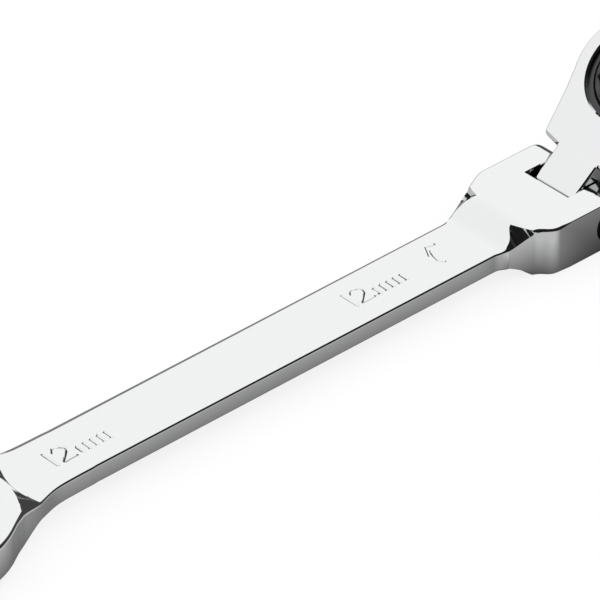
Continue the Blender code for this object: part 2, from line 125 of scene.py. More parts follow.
# Tilting head.
HEAD_THICKNESS = 8.3 * MM
HEAD_EDGE = 0.3 * MM
TONGUE_WIDTH = 8.5 * MM
TONGUE_EDGE = 0.35 * MM
SHOULDER_OFFSET = 5.5 * MM
SHOULDER_LEAN = 0.2
SHOULDER_CORNER = 0.6 * MM
SHOULDER_CHAMFER = 0.5 * MM
HEAD_NECK_WIDTH = 15.2 * MM
HEAD_NECK_SPREAD = 0.2
HEAD_NECK_SOFTNESS = 0.6 * MM
RING_RADIUS = 11.05 * MM
BORE_CHAMFER = 0.25 * MM

# Cross pin.
PIN_RADIUS = 2.0 * MM
PIN_HEAD_RADIUS = 2.8 * MM
PIN_HEAD_HEIGHT = 1.4 * MM
PIN_SINK = 0.9 * MM
PIN_SOCKET_RADIUS = 1.5 * MM
PIN_SOCKET_DEPTH = 0.9 * MM
COUNTERBORE_RADIUS = 3.0 * MM
COUNTERBORE_CHAMFER = 0.12 * MM
PIN_CHAMFER = 0.25 * MM
RUNNING_GAP = 0.06 * MM
DETENT_HOLE_RADIUS = 1.35 * MM
DETENT_HOLE_DEPTH = 5.4 * MM

# Ratchet.
TOOTH_COUNT = 72
GEAR_TIP_RADIUS = 8.4 * MM
TOOTH_DEPTH = 0.42 * MM
TOOTH_LEAN = math.radians(1.2)
GEAR_TEETH_LOW = -2.9 * MM
GEAR_TEETH_HIGH = 2.3 * MM
GEAR_LOW = -3.9 * MM
GEAR_HIGH = 3.6 * MM
GEAR_LOW_HUB_RADIUS = 7.75 * MM
GEAR_HIGH_HUB_RADIUS = 7.45 * MM
GEAR_CHAMFER = 0.2 * MM
GROOVE_DEPTH = 0.06 * MM
DRIVE_ACROSS_FLATS = 12.1 * MM
DRIVE_CHAMFER = 0.45 * MM
HOUSING_BORE_RADIUS = 8.65 * MM
HOUSING_LIP_RADIUS = 7.85 * MM
HOUSING_LIP_TOP = -3.1 * MM
SNAP_GROOVE_RADIUS = 9.2 * MM
SNAP_GROOVE_LOW = 2.55 * MM
SNAP_GROOVE_HIGH = 3.45 * MM
SNAP_RING_OUTER = 9.05 * MM
SNAP_RING_INNER = 7.6 * MM
SNAP_RING_LOW = 2.65 * MM
SNAP_RING_HIGH = 3.35 * MM
SNAP_RING_GAP = math.radians(22.0)
SNAP_RING_EDGE = 0.12 * MM
POCKET_WIDTH = 6.8 * MM
POCKET_HEIGHT = 4.6 * MM
POCKET_BACK = -13.2 * MM
POCKET_FRONT = -7.2 * MM
SPRING_HOLE_RADIUS = 1.2 * MM
SPRING_HOLE_BACK = -15.6 * MM
PAWL_BACK = -12.3 * MM

ROUND_SEGMENTS = 96
DISC_ANGLES = (math.radians(12.0), math.radians(76.0))
LAST_TIP_ANGLE = math.radians(84.0)
COLUMNS = 10
EDGE_STEPS = 8
PLENTY = 30.0 * MM
OVERSHOOT = 0.5 * MM

# Metal.
SCRATCH_DEPTH = 0.02 * MM
TURNING_SCALE = 7000.0
PATCH_SCALE = 90.0
PATCH_STRENGTH = 0.25
WORN_POINTINESS = (0.52, 0.62)

# Camera.
CAMERA_TARGET = Vector((-43.062, 2.485, 8.504)) * MM
CAMERA_AZIMUTH = math.radians(-42.292)
CAMERA_ELEVATION = math.radians(34.903)
CAMERA_DISTANCE = 1019.18 * MM
CAMERA_LENS = 411.21

# Studio.
SKY_RADIUS = 5.0
FLOOR_SIZE = 12.0
SOFTBOX_DIRECTION = Vector((0.12, 0.62, 0.775))
SOFTBOX_EDGE = (0.71, 0.80)
SOFTBOX_LIGHT = 0.96
WALL_LIGHT = 0.012
SIDE_LIGHT = 0.045
SIDE_DIRECTION = Vector((0.85, 0.5, 0.15))
SIDE_EDGE = (0.2, 0.9)
LOW_LIGHT = 0.16
LOW_DIRECTION = Vector((0.5, 0.86, 0.0))
LOW_EDGE = (0.93, 0.985)
FLOOR_GLOW = 0.82
FLOOR_COLOUR = 0.2
FLOOR_NEAR_LIGHT = 0.1
FLOOR_FAR_LIGHT = 0.55
FLOOR_FADE = 10.0 * MM
FLOOR_RIGHT_SHADE = 0.42
FLOOR_GAP = 0.05 * MM

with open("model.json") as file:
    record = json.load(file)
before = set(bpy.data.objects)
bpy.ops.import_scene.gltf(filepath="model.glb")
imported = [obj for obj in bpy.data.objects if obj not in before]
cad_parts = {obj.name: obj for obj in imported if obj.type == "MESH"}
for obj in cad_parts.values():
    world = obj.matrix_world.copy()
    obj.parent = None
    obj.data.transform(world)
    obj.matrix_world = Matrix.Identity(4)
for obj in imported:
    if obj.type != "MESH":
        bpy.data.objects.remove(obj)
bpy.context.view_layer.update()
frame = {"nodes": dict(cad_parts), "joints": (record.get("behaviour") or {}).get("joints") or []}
joints = {joint["name"]: joint for joint in frame["joints"]}
pin_point = Vector(joints["head_flex"]["pos_m"])
ring_point = Vector(joints["gear_spin"]["pos_m"])
PIN_X = pin_point.x
MID_Z = pin_point.z
FORK_THICKNESS = 2.0 * pin_point.z
RING_OFFSET = (ring_point - pin_point).length


# ---------------------------------------------------------------- mesh tools

def ease(value, start, end):
    """Go smoothly from 0 at start to 1 at end."""
    t = min(max((value - start) / (end - start), 0.0), 1.0)
    return t * t * (3.0 - 2.0 * t)


def mix(low, high, amount):
    return low + (high - low) * amount


def window(value, start, full, fading, end):
    """Go smoothly from 0 at start to 1 at full, and from 1 at fading back to 0 at end."""
    return ease(value, start, full) * (1.0 - ease(value, fading, end))


def ramp(value, start, end, ease_in, ease_out):
    """Go from 0 at start to 1 at end: steadily, after a rounded beginning and before a rounded end."""
    length = end - start
    rate = 1.0 / (length - (ease_in + ease_out) / 2)
    done = min(max(value - start, 0.0), length)
    if done < ease_in:
        return rate * done ** 2 / (2 * ease_in)
    if done > length - ease_out:
        return 1.0 - rate * (length - done) ** 2 / (2 * ease_out)
    return rate * (done - ease_in / 2)


def soft_max(first, second, softness):
    """The larger of two values, with the change from one to the other rounded off."""
    return (first + second + math.sqrt((first - second) ** 2 + softness ** 2)) / 2


def spread(start, end, count):
    """Evenly spaced values from start to end, both included."""
    return [mix(start, end, i / (count - 1)) for i in range(count)]


def loft(name, rings, endless=False):
    """A solid whose skin joins rings that all have the same number of points."""
    mesh = bmesh.new()
    rows = [[mesh.verts.new(point) for point in ring] for ring in rings]
    pairs = list(zip(rows, rows[1:]))
    if endless:
        pairs.append((rows[-1], rows[0]))
    else:
        mesh.faces.new(rows[0])
        mesh.faces.new(rows[-1])
    for row, following in pairs:
        for i in range(len(row)):
            j = (i + 1) % len(row)
            mesh.faces.new((row[i], row[j], following[j], following[i]))
    bmesh.ops.recalc_face_normals(mesh, faces=mesh.faces)
    data = bpy.data.meshes.new(name)
    mesh.to_mesh(data)
    mesh.free()
    made = bpy.data.objects.new(name, data)
    bpy.context.scene.collection.objects.link(made)
    return made


def circle(radius, height, count=ROUND_SEGMENTS, axis="z"):
    """Points of a circle about an axis through the origin, at a height along that axis."""
    points = []
    for i in range(count):
        turn = math.tau * i / count
        across, along = radius * math.cos(turn), radius * math.sin(turn)
        points.append({"x": (height, across, along), "y": (across, height, along),
                       "z": (across, along, height)}[axis])
    return points


def turned(name, profile, axis="z", count=ROUND_SEGMENTS, endless=False):
    """A turned solid from (radius, height) pairs; an endless profile leaves the middle open."""
    return loft(name, [circle(radius, height, count, axis) for radius, height in profile], endless)


def block(name, x_range, half_width, low, high):
    outline = [(x_range[0], -half_width), (x_range[1], -half_width),
               (x_range[1], half_width), (x_range[0], half_width)]
    return loft(name, [[(x, y, z) for x, y in outline] for z in (low, high)])


def flared(name, outline_at, half, chamfer):
    """A cutter through a plate of that half thickness, wider at both faces so that it chamfers the edges."""
    levels = [(-half - OVERSHOOT, chamfer + OVERSHOOT), (-half + chamfer, 0.0),
              (half - chamfer, 0.0), (half + OVERSHOOT, chamfer + OVERSHOOT)]
    return loft(name, [[(x, y, z) for x, y in outline_at(grow)] for z, grow in levels])


def baked(piece):
    """Replace a piece's mesh by what its modifiers make of it."""
    graph = bpy.context.evaluated_depsgraph_get()
    data = bpy.data.meshes.new_from_object(piece.evaluated_get(graph))
    data.name = piece.name
    piece.modifiers.clear()
    piece.data = data


def carve(piece, cutter):
    """Cut one solid out of another, at once."""
    boolean = piece.modifiers.new("carve", "BOOLEAN")
    boolean.operation = "DIFFERENCE"
    boolean.solver = "EXACT"
    boolean.object = cutter
    bpy.context.view_layer.update()
    baked(piece)
    bpy.data.objects.remove(cutter)


def polish(piece):
    """Smooth shading that keeps flat faces flat and sharp edges sharp."""
    piece.data.shade_smooth()
    piece.data.set_sharp_from_angle(angle=math.radians(28.0))
    weighted = piece.modifiers.new("weighted", "WEIGHTED_NORMAL")
    weighted.keep_sharp = True
    bpy.context.view_layer.update()
    baked(piece)


# ---------------------------------------------------------------- handle

def ramp_half_height(x):
    """Half the thickness at the flat faces, away from the open end; the fork's tips are rounded."""
    half = FORK_THICKNESS / 2
    if x > PIN_X:
        return half * (1.0 - ((x - PIN_X) / TIP_LENGTH) ** TIP_FULLNESS) ** (1.0 / TIP_FULLNESS)
    return mix(SHANK_THICKNESS / 2, FORK_THICKNESS / 2, ease(x, RAMP_START_X, RAMP_END_X))


def left_chamfer(x):
    """The width of the shallow chamfer along the shank's left edge."""
    return mix(LEFT_CHAMFER_WIDE, LEFT_CHAMFER_NARROW, ease(x, PANEL_X, FAR_MARK[0]))


def chamfered(x, side):
    """How far the edge is a chamfer: along the shank's left side and on the right notch's rim."""
    if side < 0:
        return window(x, *NOTCH_RIM_X)
    return window(x, OPEN_RISE_START_X, PANEL_X, SLOW_FLARE[0], RAMP_END_X)


def edge_width(x, side):
    """The width of the edge between face and wall."""
    chamfer = left_chamfer(x) if side > 0 else NOTCH_RIM_WIDTH
    return mix(edge_size(x, side), chamfer, chamfered(x, side))


def edge_size(x, side):
    """The height of the edge between face and wall."""
    shank, fork = SHANK_EDGE, FORK_EDGE_LEFT if side > 0 else FORK_EDGE_RIGHT
    if side > 0:
        shank = LEFT_CHAMFER_SLOPE * left_chamfer(x)
    if x < NECK_START_X:
        return mix(shank, OPEN_EDGE, ease(x, OPEN_RISE_START_X, OPEN_RISE_END_X))
    return min(mix(shank, fork, ease(x, RAMP_START_X, RAMP_END_X)), ramp_half_height(x) / 2)


def wall_half_height(x, top, side):
    """Half the height of the side walls, without the rounded edges."""
    shank, fork, head = SHANK_THICKNESS / 2, FORK_THICKNESS / 2, OPEN_END_THICKNESS / 2
    if x > NECK_START_X:
        wall = mix(shank, fork, ease(x, WALL_RISE_START_X, WALL_RISE_END_X))
        wall -= NOTCH_RIM_DROP * window(x, *NOTCH_RIM_X)
    else:
        wall = mix(shank, head, ease(x, OPEN_RISE_START_X, OPEN_RISE_END_X))
    return min(wall, top) - edge_size(x, side)


def half_width(x, side):
    """Half the handle's width at its side walls."""
    if x < NECK_START_X:
        disc = math.sqrt(max(OPEN_END_RADIUS ** 2 - (x - OPEN_END_X) ** 2, 0.0))
        if x < OPEN_END_X:
            return disc
        spreading = soft_max(NECK_BEND_X - max(x, NECK_END_X), 0.0, NECK_BEND_SOFTNESS)
        neck = SHANK_WIDTH / 2 + NECK_SLOPE * spreading
        return soft_max(neck, disc, NECK_JOINT_SOFTNESS * (1.0 - ease(x, NECK_END_X, OPEN_END_X)))
    quick_width = (FORK_WIDTH - SHANK_WIDTH) / 2 - SLOW_FLARE_WIDTH
    quick = quick_width * ramp(x, *(LEFT_FLARE if side > 0 else RIGHT_FLARE))
    wide = SHANK_WIDTH / 2 + SLOW_FLARE_WIDTH * ramp(x, *SLOW_FLARE) + quick
    beyond = max(x - (PIN_X + TIP_LENGTH - TIP_ROUNDING), 0.0)
    return wide - TIP_ROUNDING + math.sqrt(TIP_ROUNDING ** 2 - beyond ** 2)


def face_half_width(x, side):
    """How far out the face reaches: to the edge, or less far at the notches and beside the cove."""
    wall = half_width(x, side)
    face = wall - edge_width(x, side)
    (start, middle, end), valley = (LEFT_NOTCH_X, LEFT_NOTCH_VALLEY) if side > 0 else (
        RIGHT_NOTCH_X, RIGHT_NOTCH_VALLEY)
    if start < x < middle:
        at_start = half_width(start, side) - edge_width(start, side)
        face = mix(at_start, valley, ease(x, start, middle) ** NOTCH_CLOSING_POWER)
    elif middle <= x < end:
        opened = 1.0 - ((end - x) / (end - middle)) ** NOTCH_OPENING_POWER
        face = min(face, mix(valley, FORK_WIDTH / 2, opened))
    away = min(abs(x - SCOOP_X) / SCOOP_REACH, 1.0)
    return face - SCOOP_DEPTH * math.cos(away * math.pi / 2) ** 2


def edge_points(x, top, side):
    """The edge or the notch on one side, from just past the face to the side wall.

    A notch slopes down to just inside the wall, at NOTCH_SLOPE or more, and the wall stands up around it.
    """
    wide, narrow = half_width(x, side), face_half_width(x, side)
    low = wall_half_height(x, top, side)
    gap, flat = wide - narrow, chamfered(x, side)
    size = edge_width(x, side)
    hollow = ease(gap, NOTCH_FIRST_GAP * size, NOTCH_FULL_GAP * size) if x > NECK_START_X else 0.0
    sunk = hollow * max(NOTCH_SLOPE * gap - (top - low), 0.0)
    points = []
    for i in range(1, EDGE_STEPS + 1):
        turn = math.pi / 2 * i / EDGE_STEPS
        share = i / EDGE_STEPS
        reach = min(share * NOTCH_REACH, 1.0)
        across = mix(mix(math.sin(turn), share, flat), reach, hollow)
        drop = mix(mix(math.cos(turn), 1.0 - share, flat), 1.0 - reach, hollow)
        dip = sunk * reach if i < EDGE_STEPS else 0.0
        points.append((x, side * mix(narrow, wide, across), mix(low, top, drop) - dip))
    return points


def row_point(curve, share):
    """Where a row that runs along a curve x(y) meets a line at a share of the face's half width."""
    side = 1 if share > 0.0 else -1
    x = curve(0.0)
    for _ in range(40):
        y = share * face_half_width(x, side)
        x = mix(x, curve(y), 0.5)
    return x, share * face_half_width(x, side)


def handle_row(curve, height):
    """A closed ring about the handle; the height is a number, or a function of x."""
    def top_at(x):
        return height(x) if callable(height) else height

    face = []
    for share in spread(-1.0, 1.0, 2 * COLUMNS + 1):
        x, y = row_point(curve, share)
        face.append((x, y, top_at(x)))
    right = edge_points(face[0][0], face[0][2], -1)
    left = edge_points(face[-1][0], face[-1][2], 1)
    upper = right[::-1] + face + left
    ring = upper + [(x, y, -z) for x, y, z in upper[::-1]]
    return [(x, y, MID_Z + z) for x, y, z in ring]


def straight(x):
    """A row straight across the handle."""
    return lambda y: x


def cove_start(y):
    """The curved end of the shank's flat face."""
    return COVE_START_X + COVE_START_CURVE * (y - COVE_START_Y) ** 2


def cove_end(y):
    """The edge of the open end's flat face."""
    aside = math.hypot(min(abs(y), COVE_END_REACH), COVE_MIDDLE_ROUNDING) - COVE_MIDDLE_ROUNDING
    return OPEN_END_X + math.sqrt(COVE_END_RADIUS ** 2 - (aside + COVE_END_OFFSET) ** 2)


def between(first, second, amount):
    """A row part of the way from one row to another."""
    return lambda y: mix(first(y), second(y), amount)


def handle_rows():
    """The handle's rows from its open end to its fork: curved along the cove, straight elsewhere."""
    shank, head = SHANK_THICKNESS / 2, OPEN_END_THICKNESS / 2
    disc = [OPEN_END_X - OPEN_END_RADIUS * math.cos(angle) for angle in spread(*DISC_ANGLES, 16)]
    rows = [handle_row(straight(x), head) for x in disc + spread(OPEN_END_X, HEAD_FACE_X, 4)]
    for amount in spread(0.0, 1.0, 9)[1:]:
        rows.append(handle_row(between(straight(HEAD_FACE_X), cove_end, amount), head))
    for amount in spread(0.0, 1.0, 13)[1:]:
        rise = 1.0 - amount
        shape = COVE_STEEPNESS * rise + (1.0 - COVE_STEEPNESS) * rise ** 2
        rows.append(handle_row(between(cove_end, cove_start, amount), mix(shank, head, shape)))
    for amount in spread(0.0, 1.0, 13)[1:]:
        rows.append(handle_row(between(cove_start, straight(PANEL_X), amount), shank))
    neck = spread(PANEL_X, NECK_START_X, 8)[1:]
    flare = spread(SLOW_FLARE[0], RIGHT_NOTCH_X[0], 8)[:-1]
    notch = spread(RIGHT_NOTCH_X[0], RIGHT_NOTCH_X[1], 28)[:-1]
    notch += spread(RIGHT_NOTCH_X[1], LEFT_FLARE[1], 56)
    tips = [PIN_X + TIP_LENGTH * math.sin(angle) for angle in spread(0.0, LAST_TIP_ANGLE, 19)]
    return rows + [handle_row(straight(x), ramp_half_height) for x in neck + flare + notch + tips]


def jaw_outline(grow):
    """The jaw's gap and the blunt ends of its prongs, grown outwards by that much."""
    half, bottom = JAW_WIDTH / 2 + grow, JAW_BOTTOM_WIDTH / 2 + grow / 2
    back, tip = JAW_BOTTOM + grow, JAW_TIP - grow
    outline = [(tip, -3 * PLENTY), (tip, -half), (-back / 2, -half), (-back, -bottom), (-back, bottom),
               (-back / 2, half), (tip, half), (tip, 3 * PLENTY), (4 * PLENTY, 3 * PLENTY),
               (4 * PLENTY, -3 * PLENTY)]
    turn = math.pi + JAW_ANGLE
    return [(OPEN_END_X + x * math.cos(turn) - y * math.sin(turn), x * math.sin(turn) + y * math.cos(turn))
            for x, y in outline]


def slot_outline(grow):
    left, right, root = SLOT_HALF_LEFT + grow, -SLOT_HALF_RIGHT - grow, SLOT_ROOT_X - grow
    return [(root, right), (3 * PLENTY, right), (3 * PLENTY, left), (root, left)]


def stroke(points, surface):
    """A V-shaped groove's cutter along a line of points on a face, with mitred corners and sloped ends.

    Its sides go on above the face at the same slope, as far as it is deep.
    """
    line = [Vector(point) for point in points]
    first, last = (line[1] - line[0]).normalized(), (line[-1] - line[-2]).normalized()
    corners = []
    for i, point in enumerate(line):
        before = (line[i] - line[i - 1]).normalized() if i else first
        after = (line[i + 1] - line[i]).normalized() if i + 1 < len(line) else last
        side = Vector((-(before + after).y, (before + after).x)).normalized()
        reach = MARK_WIDTH / 2 / max(side.dot(Vector((-after.y, after.x))), MITRE_LIMIT)
        corners.append((point, side, reach, MARK_DEPTH))
    narrow, shallow = MARK_END_SIZE * MARK_WIDTH, MARK_END_SIZE * MARK_DEPTH
    start = (line[0] - first * MARK_WIDTH / 2, corners[0][1], narrow, shallow)
    end = (line[-1] + last * MARK_WIDTH / 2, corners[-1][1], narrow, shallow)
    sections = []
    for point, side, reach, depth in [start] + corners + [end]:
        left, right = point + side * reach * 2.0, point - side * reach * 2.0
        sections.append([(left.x, left.y, surface + MARK_DEPTH), (right.x, right.y, surface + MARK_DEPTH),
                         (point.x, point.y, surface - depth)])
    return loft("stroke", sections)


def moved(points, x, y):
    return [(x + px, y + py) for px, py in points]


def size_mark(x, low):
    """A one, a two and a row of short ticks, read from the near side."""
    tall, wide = DIGIT_HEIGHT, DIGIT_WIDTH
    bend = [(0.0, 0.78 * tall), (0.25 * wide, tall), (0.75 * wide, tall), (wide, 0.75 * tall),
            (0.85 * wide, 0.5 * tall), (0.0, 0.0)]
    strokes = [moved([(0.0, 0.0), (0.0, tall)], x + ONE_OFFSET, low), moved(bend, x + TWO_OFFSET, low),
               moved([(0.0, 0.0), (wide, 0.0)], x + TWO_OFFSET, low)]
    for i in range(TICK_COUNT):
        strokes.append(moved([(0.0, 0.0), (0.0, TICK_HEIGHT)], x + TICKS_OFFSET + i * TICK_PITCH, low))
    return strokes


def turn_mark():
    """A curved arrow that shows the driving direction."""
    hook = [(-15.5 * MM, 2.65 * MM), (-16.9 * MM, 3.05 * MM), (-18.15 * MM, 0.9 * MM)]
    shaft = [(-17.1 * MM, 1.75 * MM), (-17.65 * MM, 0.5 * MM), (-17.9 * MM, -0.7 * MM),
             (-17.4 * MM, -1.75 * MM)]
    return [hook, shaft]


def make_body():
    body = loft("handle_forging", handle_rows())
    jaw = flared("jaw_cutter", jaw_outline, OPEN_END_THICKNESS / 2, JAW_CHAMFER)
    jaw.location.z = MID_Z
    carve(body, jaw)
    slot = flared("slot_cutter", slot_outline, FORK_THICKNESS / 2, SLOT_CHAMFER)
    slot.location.z = MID_Z
    carve(body, slot)
    wall, bore, chamfer = FORK_WIDTH / 2, PIN_RADIUS + RUNNING_GAP, COUNTERBORE_CHAMFER
    seat = -wall + PIN_SINK + PIN_HEAD_HEIGHT + RUNNING_GAP
    steps = [(COUNTERBORE_RADIUS + chamfer + PLENTY, -wall - PLENTY), (COUNTERBORE_RADIUS, -wall + chamfer),
             (COUNTERBORE_RADIUS, seat), (bore, seat), (bore, wall - chamfer),
             (bore + chamfer + PLENTY, wall + PLENTY)]
    pin_hole = turned("pin_hole_cutter", steps, "y")
    pin_hole.location = pin_point
    carve(body, pin_hole)
    hole = [(DETENT_HOLE_RADIUS, -DETENT_HOLE_DEPTH), (DETENT_HOLE_RADIUS, PIN_RADIUS)]
    detent_hole = turned("detent_hole_cutter", hole, "x", 32)
    detent_hole.location = (SLOT_ROOT_X, 0.0, MID_Z)
    carve(body, detent_hole)
    surface = MID_Z + SHANK_THICKNESS / 2
    for points in size_mark(*FAR_MARK) + size_mark(*NEAR_MARK) + turn_mark():
        carve(body, stroke(points, surface))
    polish(body)
    return body


def make_screw():
    wall, top = FORK_WIDTH / 2, -FORK_WIDTH / 2 + PIN_SINK
    under, end = top + PIN_HEAD_HEIGHT, wall - PIN_SINK
    profile = [(PIN_HEAD_RADIUS - PIN_CHAMFER, top), (PIN_HEAD_RADIUS, top + PIN_CHAMFER),
               (PIN_HEAD_RADIUS, under), (PIN_RADIUS, under), (PIN_RADIUS, end - PIN_CHAMFER),
               (PIN_RADIUS - PIN_CHAMFER, end)]
    screw = turned("cross_screw", profile, "y")
    socket = [(PIN_SOCKET_RADIUS + PLENTY, top - PLENTY), (PIN_SOCKET_RADIUS, top + RUNNING_GAP),
              (PIN_SOCKET_RADIUS, top + PIN_SOCKET_DEPTH)]
    carve(screw, turned("socket_cutter", socket, "y", 6))
    polish(screw)
    screw.location = pin_point
    return screw


# ---------------------------------------------------------------- ratchet head

def ring_half_width(x):
    """Half the head's width at x from the pin: a spreading neck that runs into the round ring."""
    ring = math.sqrt(max(RING_RADIUS ** 2 - (x - RING_OFFSET) ** 2, 0.0))
    if x > RING_OFFSET:
        return ring
    joined = ease(x, RING_OFFSET - RING_RADIUS / 2, RING_OFFSET)
    neck = (HEAD_NECK_WIDTH / 2 + HEAD_NECK_SPREAD * (x - SHOULDER_OFFSET)) * (1.0 - joined)
    return soft_max(neck, ring, HEAD_NECK_SOFTNESS * (1.0 - joined))


def housing_section(x, half, edge):
    """A rectangle with rounded edges; the tongue's end is rounded about the pin."""
    tall = HEAD_THICKNESS / 2
    if x < 0.0:
        tall = math.sqrt(max(tall ** 2 - x ** 2, 0.0))
    size = min(edge, tall / 2, half / 2)
    right = []
    for turn in spread(0.0, math.pi / 2, EDGE_STEPS):
        right.append((half - size + size * math.sin(turn), tall - size + size * math.cos(turn)))
    right += [(y, -z) for y, z in right[::-1]]
    return [(x, y, z) for y, z in right + [(-y, z) for y, z in right[::-1]]]


def housing_sections():
    tongue, shoulder = TONGUE_WIDTH / 2, HEAD_NECK_WIDTH / 2
    knuckle = [-HEAD_THICKNESS / 2 * math.sin(angle) for angle in spread(LAST_TIP_ANGLE, 0.0, 19)]
    rings = [housing_section(x, tongue, TONGUE_EDGE) for x in knuckle + [SHOULDER_OFFSET]]
    for half in spread(tongue + TONGUE_EDGE, shoulder - SHOULDER_CORNER, 4):
        rings.append(housing_section(SHOULDER_OFFSET + SHOULDER_LEAN * (half - tongue), half, HEAD_EDGE))
    corner_x = SHOULDER_OFFSET + SHOULDER_LEAN * (shoulder - SHOULDER_CORNER - tongue)
    for turn in spread(0.0, math.pi / 2, 6)[1:]:
        x = corner_x + SHOULDER_CORNER * (1.0 - math.cos(turn))
        half = ring_half_width(x) - SHOULDER_CORNER * (1.0 - math.sin(turn))
        rings.append(housing_section(x, half, HEAD_EDGE))
    neck = spread(corner_x + SHOULDER_CORNER + HEAD_EDGE, RING_OFFSET - HEAD_EDGE, 36)
    tip = [RING_OFFSET + RING_RADIUS * math.sin(angle) for angle in spread(0.0, LAST_TIP_ANGLE, 33)]
    return rings + [housing_section(x, ring_half_width(x), HEAD_EDGE) for x in neck + tip]


def shoulder_cutter(side, face):
    """A wedge that chamfers the edge of one shoulder at one face."""
    rings = []
    for y in (TONGUE_WIDTH / 2, HEAD_NECK_WIDTH / 2 + OVERSHOOT):
        x, tall = SHOULDER_OFFSET + SHOULDER_LEAN * (y - TONGUE_WIDTH / 2), HEAD_THICKNESS / 2
        low, high = tall - SHOULDER_CHAMFER - OVERSHOOT, tall + OVERSHOOT
        wedge = [(x - OVERSHOOT, low), (x + SHOULDER_CHAMFER + OVERSHOOT, high), (x - OVERSHOOT, high)]
        rings.append([(along, side * y, face * up) for along, up in wedge])
    return loft("shoulder_cutter", rings)


def make_housing(head_frame):
    housing = loft("head_forging", housing_sections())
    for side in (-1, 1):
        for face in (-1, 1):
            carve(housing, shoulder_cutter(side, face))
    tall, chamfer = HEAD_THICKNESS / 2, BORE_CHAMFER
    bore = [(HOUSING_LIP_RADIUS + chamfer + PLENTY, -tall - PLENTY), (HOUSING_LIP_RADIUS, -tall + chamfer),
            (HOUSING_LIP_RADIUS, HOUSING_LIP_TOP), (HOUSING_BORE_RADIUS, HOUSING_LIP_TOP),
            (HOUSING_BORE_RADIUS, SNAP_GROOVE_LOW), (SNAP_GROOVE_RADIUS, SNAP_GROOVE_LOW),
            (SNAP_GROOVE_RADIUS, SNAP_GROOVE_HIGH), (HOUSING_BORE_RADIUS, SNAP_GROOVE_HIGH),
            (HOUSING_BORE_RADIUS, tall - chamfer), (HOUSING_BORE_RADIUS + chamfer + PLENTY, tall + PLENTY)]
    hole = [(SPRING_HOLE_RADIUS, SPRING_HOLE_BACK), (SPRING_HOLE_RADIUS, PAWL_BACK)]
    pocket = block("pawl_pocket_cutter", (POCKET_BACK, POCKET_FRONT), POCKET_WIDTH / 2,
                   -POCKET_HEIGHT / 2, POCKET_HEIGHT / 2)
    for cutter in (turned("bore_cutter", bore), pocket, turned("spring_hole_cutter", hole, "x", 24)):
        cutter.location.x = RING_OFFSET
        carve(housing, cutter)
    pin_hole = [(PIN_RADIUS + RUNNING_GAP, -PLENTY), (PIN_RADIUS + RUNNING_GAP, PLENTY)]
    carve(housing, turned("tongue_hole_cutter", pin_hole, "y", 48))
    polish(housing)
    housing.data.transform(head_frame)
    return housing


def gear_outline(index):
    """A point of the toothed outline: roots at even places, leaning tips at odd ones."""
    turn = math.pi * index / TOOTH_COUNT
    is_tip = index % 2 == 1
    radius = GEAR_TIP_RADIUS - (0.0 if is_tip else TOOTH_DEPTH)
    turn -= TOOTH_LEAN if is_tip else 0.0
    return radius * math.cos(turn), radius * math.sin(turn)


def drive_outline(index, grow):
    """A point of the 12-point bore, which is two hexagons turned 30 degrees apart."""
    turn = math.pi * index / TOOTH_COUNT
    sector = math.radians(30.0)
    from_corner = abs((turn + sector / 2) % sector - sector / 2)
    radius = DRIVE_ACROSS_FLATS / 2 / math.cos(sector - from_corner)
    radius = max(radius, DRIVE_ACROSS_FLATS / 2 + grow) if grow > 0.0 else radius
    return radius * math.cos(turn), radius * math.sin(turn)


def make_gear(ring_frame):
    """The toothed ring between its two hubs, with a shallow groove turned in its face."""
    count = 2 * TOOTH_COUNT

    def ring_at(radius, height):
        return circle(radius, height, count)

    teeth = [gear_outline(i) for i in range(count)]
    low_hub, high_hub, chamfer = GEAR_LOW_HUB_RADIUS, GEAR_HIGH_HUB_RADIUS, GEAR_CHAMFER
    rings = [ring_at(low_hub - chamfer, GEAR_LOW), ring_at(low_hub, GEAR_LOW + chamfer),
             ring_at(low_hub, GEAR_TEETH_LOW)]
    rings += [[(x, y, z) for x, y in teeth] for z in (GEAR_TEETH_LOW, GEAR_TEETH_HIGH)]
    rings += [ring_at(high_hub, GEAR_TEETH_HIGH), ring_at(high_hub, GEAR_HIGH - chamfer),
              ring_at(high_hub - chamfer, GEAR_HIGH)]
    inner = DRIVE_ACROSS_FLATS / 2 / math.cos(math.radians(30.0))
    groove = spread(high_hub - 2 * chamfer, inner + chamfer / 2, 4)
    for radius, drop in zip(groove, (0, 1, 1, 0)):
        rings.append(ring_at(radius, GEAR_HIGH - drop * GROOVE_DEPTH))
    rings += [[(*drive_outline(i, DRIVE_CHAMFER), GEAR_HIGH - GROOVE_DEPTH) for i in range(count)],
              [(*drive_outline(i, 0.0), GEAR_HIGH - DRIVE_CHAMFER) for i in range(count)],
              [(*drive_outline(i, 0.0), GEAR_LOW + DRIVE_CHAMFER) for i in range(count)],
              [(*drive_outline(i, DRIVE_CHAMFER), GEAR_LOW) for i in range(count)]]
    gear = loft("ratchet_gear", rings, endless=True)
    polish(gear)
    gear.matrix_world = ring_frame
    return gear


def make_snap_ring(ring_frame):
    """A split ring with rounded edges, whose gap faces the head's far end."""
    edge = SNAP_RING_EDGE
    profile = [(SNAP_RING_INNER, SNAP_RING_LOW), (SNAP_RING_OUTER, SNAP_RING_LOW),
               (SNAP_RING_OUTER, SNAP_RING_HIGH - edge), (SNAP_RING_OUTER - edge, SNAP_RING_HIGH),
               (SNAP_RING_INNER + edge, SNAP_RING_HIGH), (SNAP_RING_INNER, SNAP_RING_HIGH - edge)]
    rings = []
    for turn in spread(SNAP_RING_GAP / 2, math.tau - SNAP_RING_GAP / 2, 121):
        rings.append([(r * math.cos(turn), r * math.sin(turn), z) for r, z in profile])
    ring = loft("retaining_ring", rings)
    polish(ring)
    ring.matrix_world = ring_frame
    return ring


# ---------------------------------------------------------------- materials

